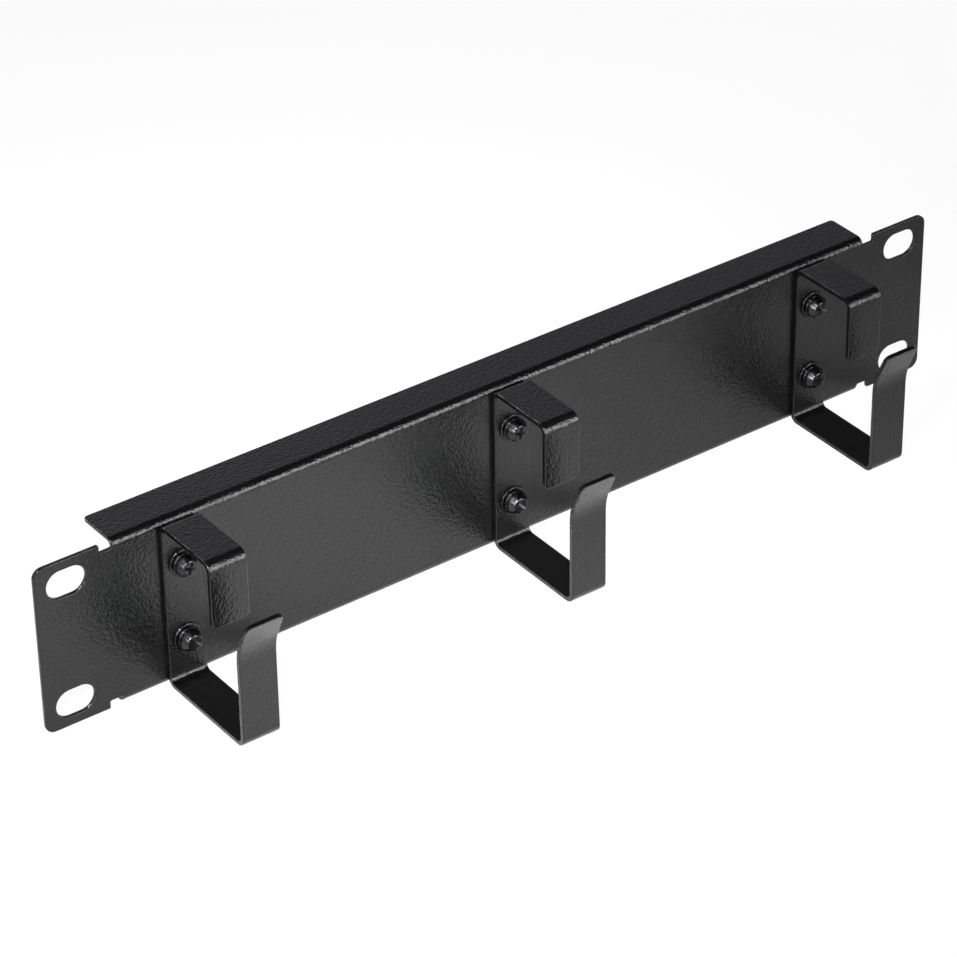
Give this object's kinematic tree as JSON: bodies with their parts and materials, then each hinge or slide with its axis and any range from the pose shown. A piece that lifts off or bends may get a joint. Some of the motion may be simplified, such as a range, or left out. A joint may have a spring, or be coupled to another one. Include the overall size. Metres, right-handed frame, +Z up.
{
  "type": "cable management panel",
  "caption": "Folded steel rack panel with slotted mounting ears and open bent-strip cable brackets screwed to its front.",
  "frame": {"origin": "centre of the four mounting slots, on the rear face of the ears, where they meet the rack's rails", "axes": "+X along the panel to the right seen from the front, +Y to the rear, into the rack, +Z up"},
  "size_m": [0.254, 0.0461, 0.0437],
  "materials": {
    "panel_paint": "black powder coat with fine wrinkle, half gloss",
    "bracket_paint": "black powder coat with fine wrinkle, half gloss",
    "fastener_black": "black zinc on steel, glossy"
  },
  "bodies": {
    "root": {"panel": "panel_paint", "bracket_left": "bracket_paint", "screw_left_upper": "fastener_black", "spring_washer_left_upper": "fastener_black", "flat_washer_left_upper": "fastener_black", "nut_left_upper": "fastener_black", "screw_left_lower": "fastener_black", "spring_washer_left_lower": "fastener_black", "flat_washer_left_lower": "fastener_black", "nut_left_lower": "fastener_black", "bracket_center": "bracket_paint", "screw_center_upper": "fastener_black", "spring_washer_center_upper": "fastener_black", "flat_washer_center_upper": "fastener_black", "nut_center_upper": "fastener_black", "screw_center_lower": "fastener_black", "spring_washer_center_lower": "fastener_black", "flat_washer_center_lower": "fastener_black", "nut_center_lower": "fastener_black", "bracket_right": "bracket_paint", "screw_right_upper": "fastener_black", "spring_washer_right_upper": "fastener_black", "flat_washer_right_upper": "fastener_black", "nut_right_upper": "fastener_black", "screw_right_lower": "fastener_black", "spring_washer_right_lower": "fastener_black", "flat_washer_right_lower": "fastener_black", "nut_right_lower": "fastener_black"}
  },
  "joints": []
}
